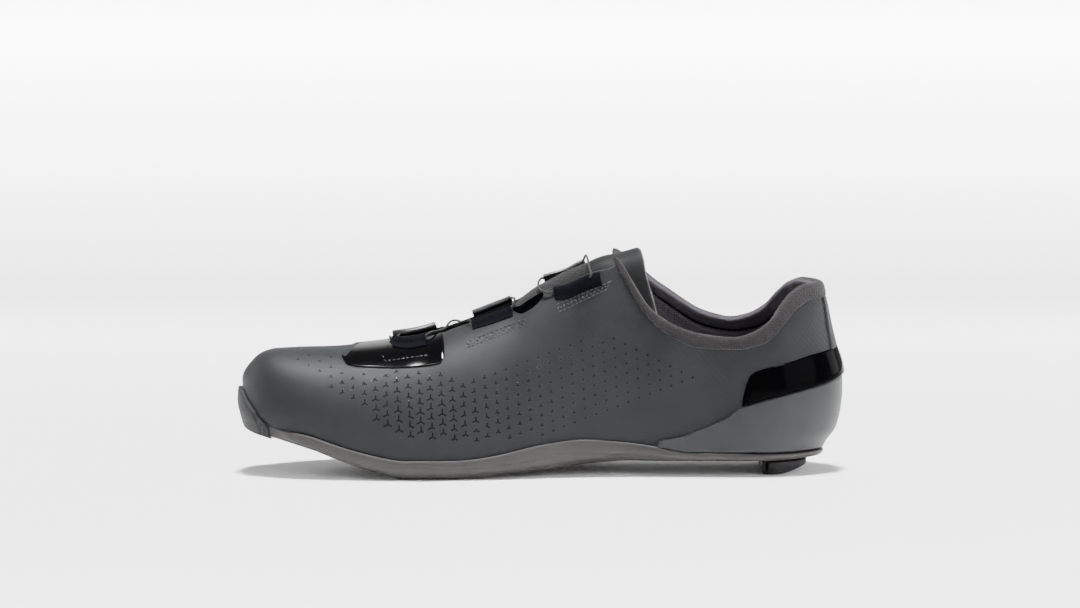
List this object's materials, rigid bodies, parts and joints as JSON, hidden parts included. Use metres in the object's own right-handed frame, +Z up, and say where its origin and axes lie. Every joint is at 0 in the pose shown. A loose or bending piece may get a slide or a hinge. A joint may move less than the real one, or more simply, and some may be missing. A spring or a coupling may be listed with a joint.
{
  "type": "cycling shoe",
  "caption": "Low road cycling shoe for the right foot: hollow upper with padded collar, tongue, lace loops and dials, on a stiff plate sole with toe spring and heel pad.",
  "frame": {"origin": "under the middle of the shoe's box, on the floor", "axes": "+Z up, -X to the toe, +X to the heel, -Y medial, +Y lateral"},
  "size_m": [0.2798, 0.1016, 0.1024],
  "materials": {
    "upper": "matte microfibre with small three-armed perforations",
    "binding": "padded mesh",
    "tongue": "matte microfibre with mesh lining",
    "insole": "matte knit",
    "sole": "matte moulded composite",
    "rubber": "matte moulded rubber",
    "cup": "satin moulded plastic",
    "gloss": "polished film",
    "webbing": "woven webbing",
    "guide": "satin moulded plastic",
    "lace": "braided cord",
    "metal": "satin anodised",
    "insert": "turned steel"
  },
  "bodies": {
    "root": {"upper": "upper", "outsole": "sole", "insole": "insole", "tongue": "tongue", "collar_binding": "binding", "toe_bumper": "rubber", "heel_pad": "rubber", "heel_cup": "cup", "heel_gloss_band": "gloss", "heel_back_strip": "upper", "throat_gloss_patch": "gloss", "lace_loop_1": "webbing", "lace_loop_2": "webbing", "lace_loop_3": "webbing", "lace_guide_1": "guide", "lace_guide_2": "guide", "lace_guide_3": "guide", "lower_lace": "lace", "upper_lace": "lace", "dial_base_lower": "guide", "dial_knob_lower": "metal", "dial_base_upper": "guide", "dial_knob_upper": "metal", "cleat_nut_front": "insert", "cleat_nut_medial": "insert", "cleat_nut_lateral": "insert"}
  },
  "joints": []
}
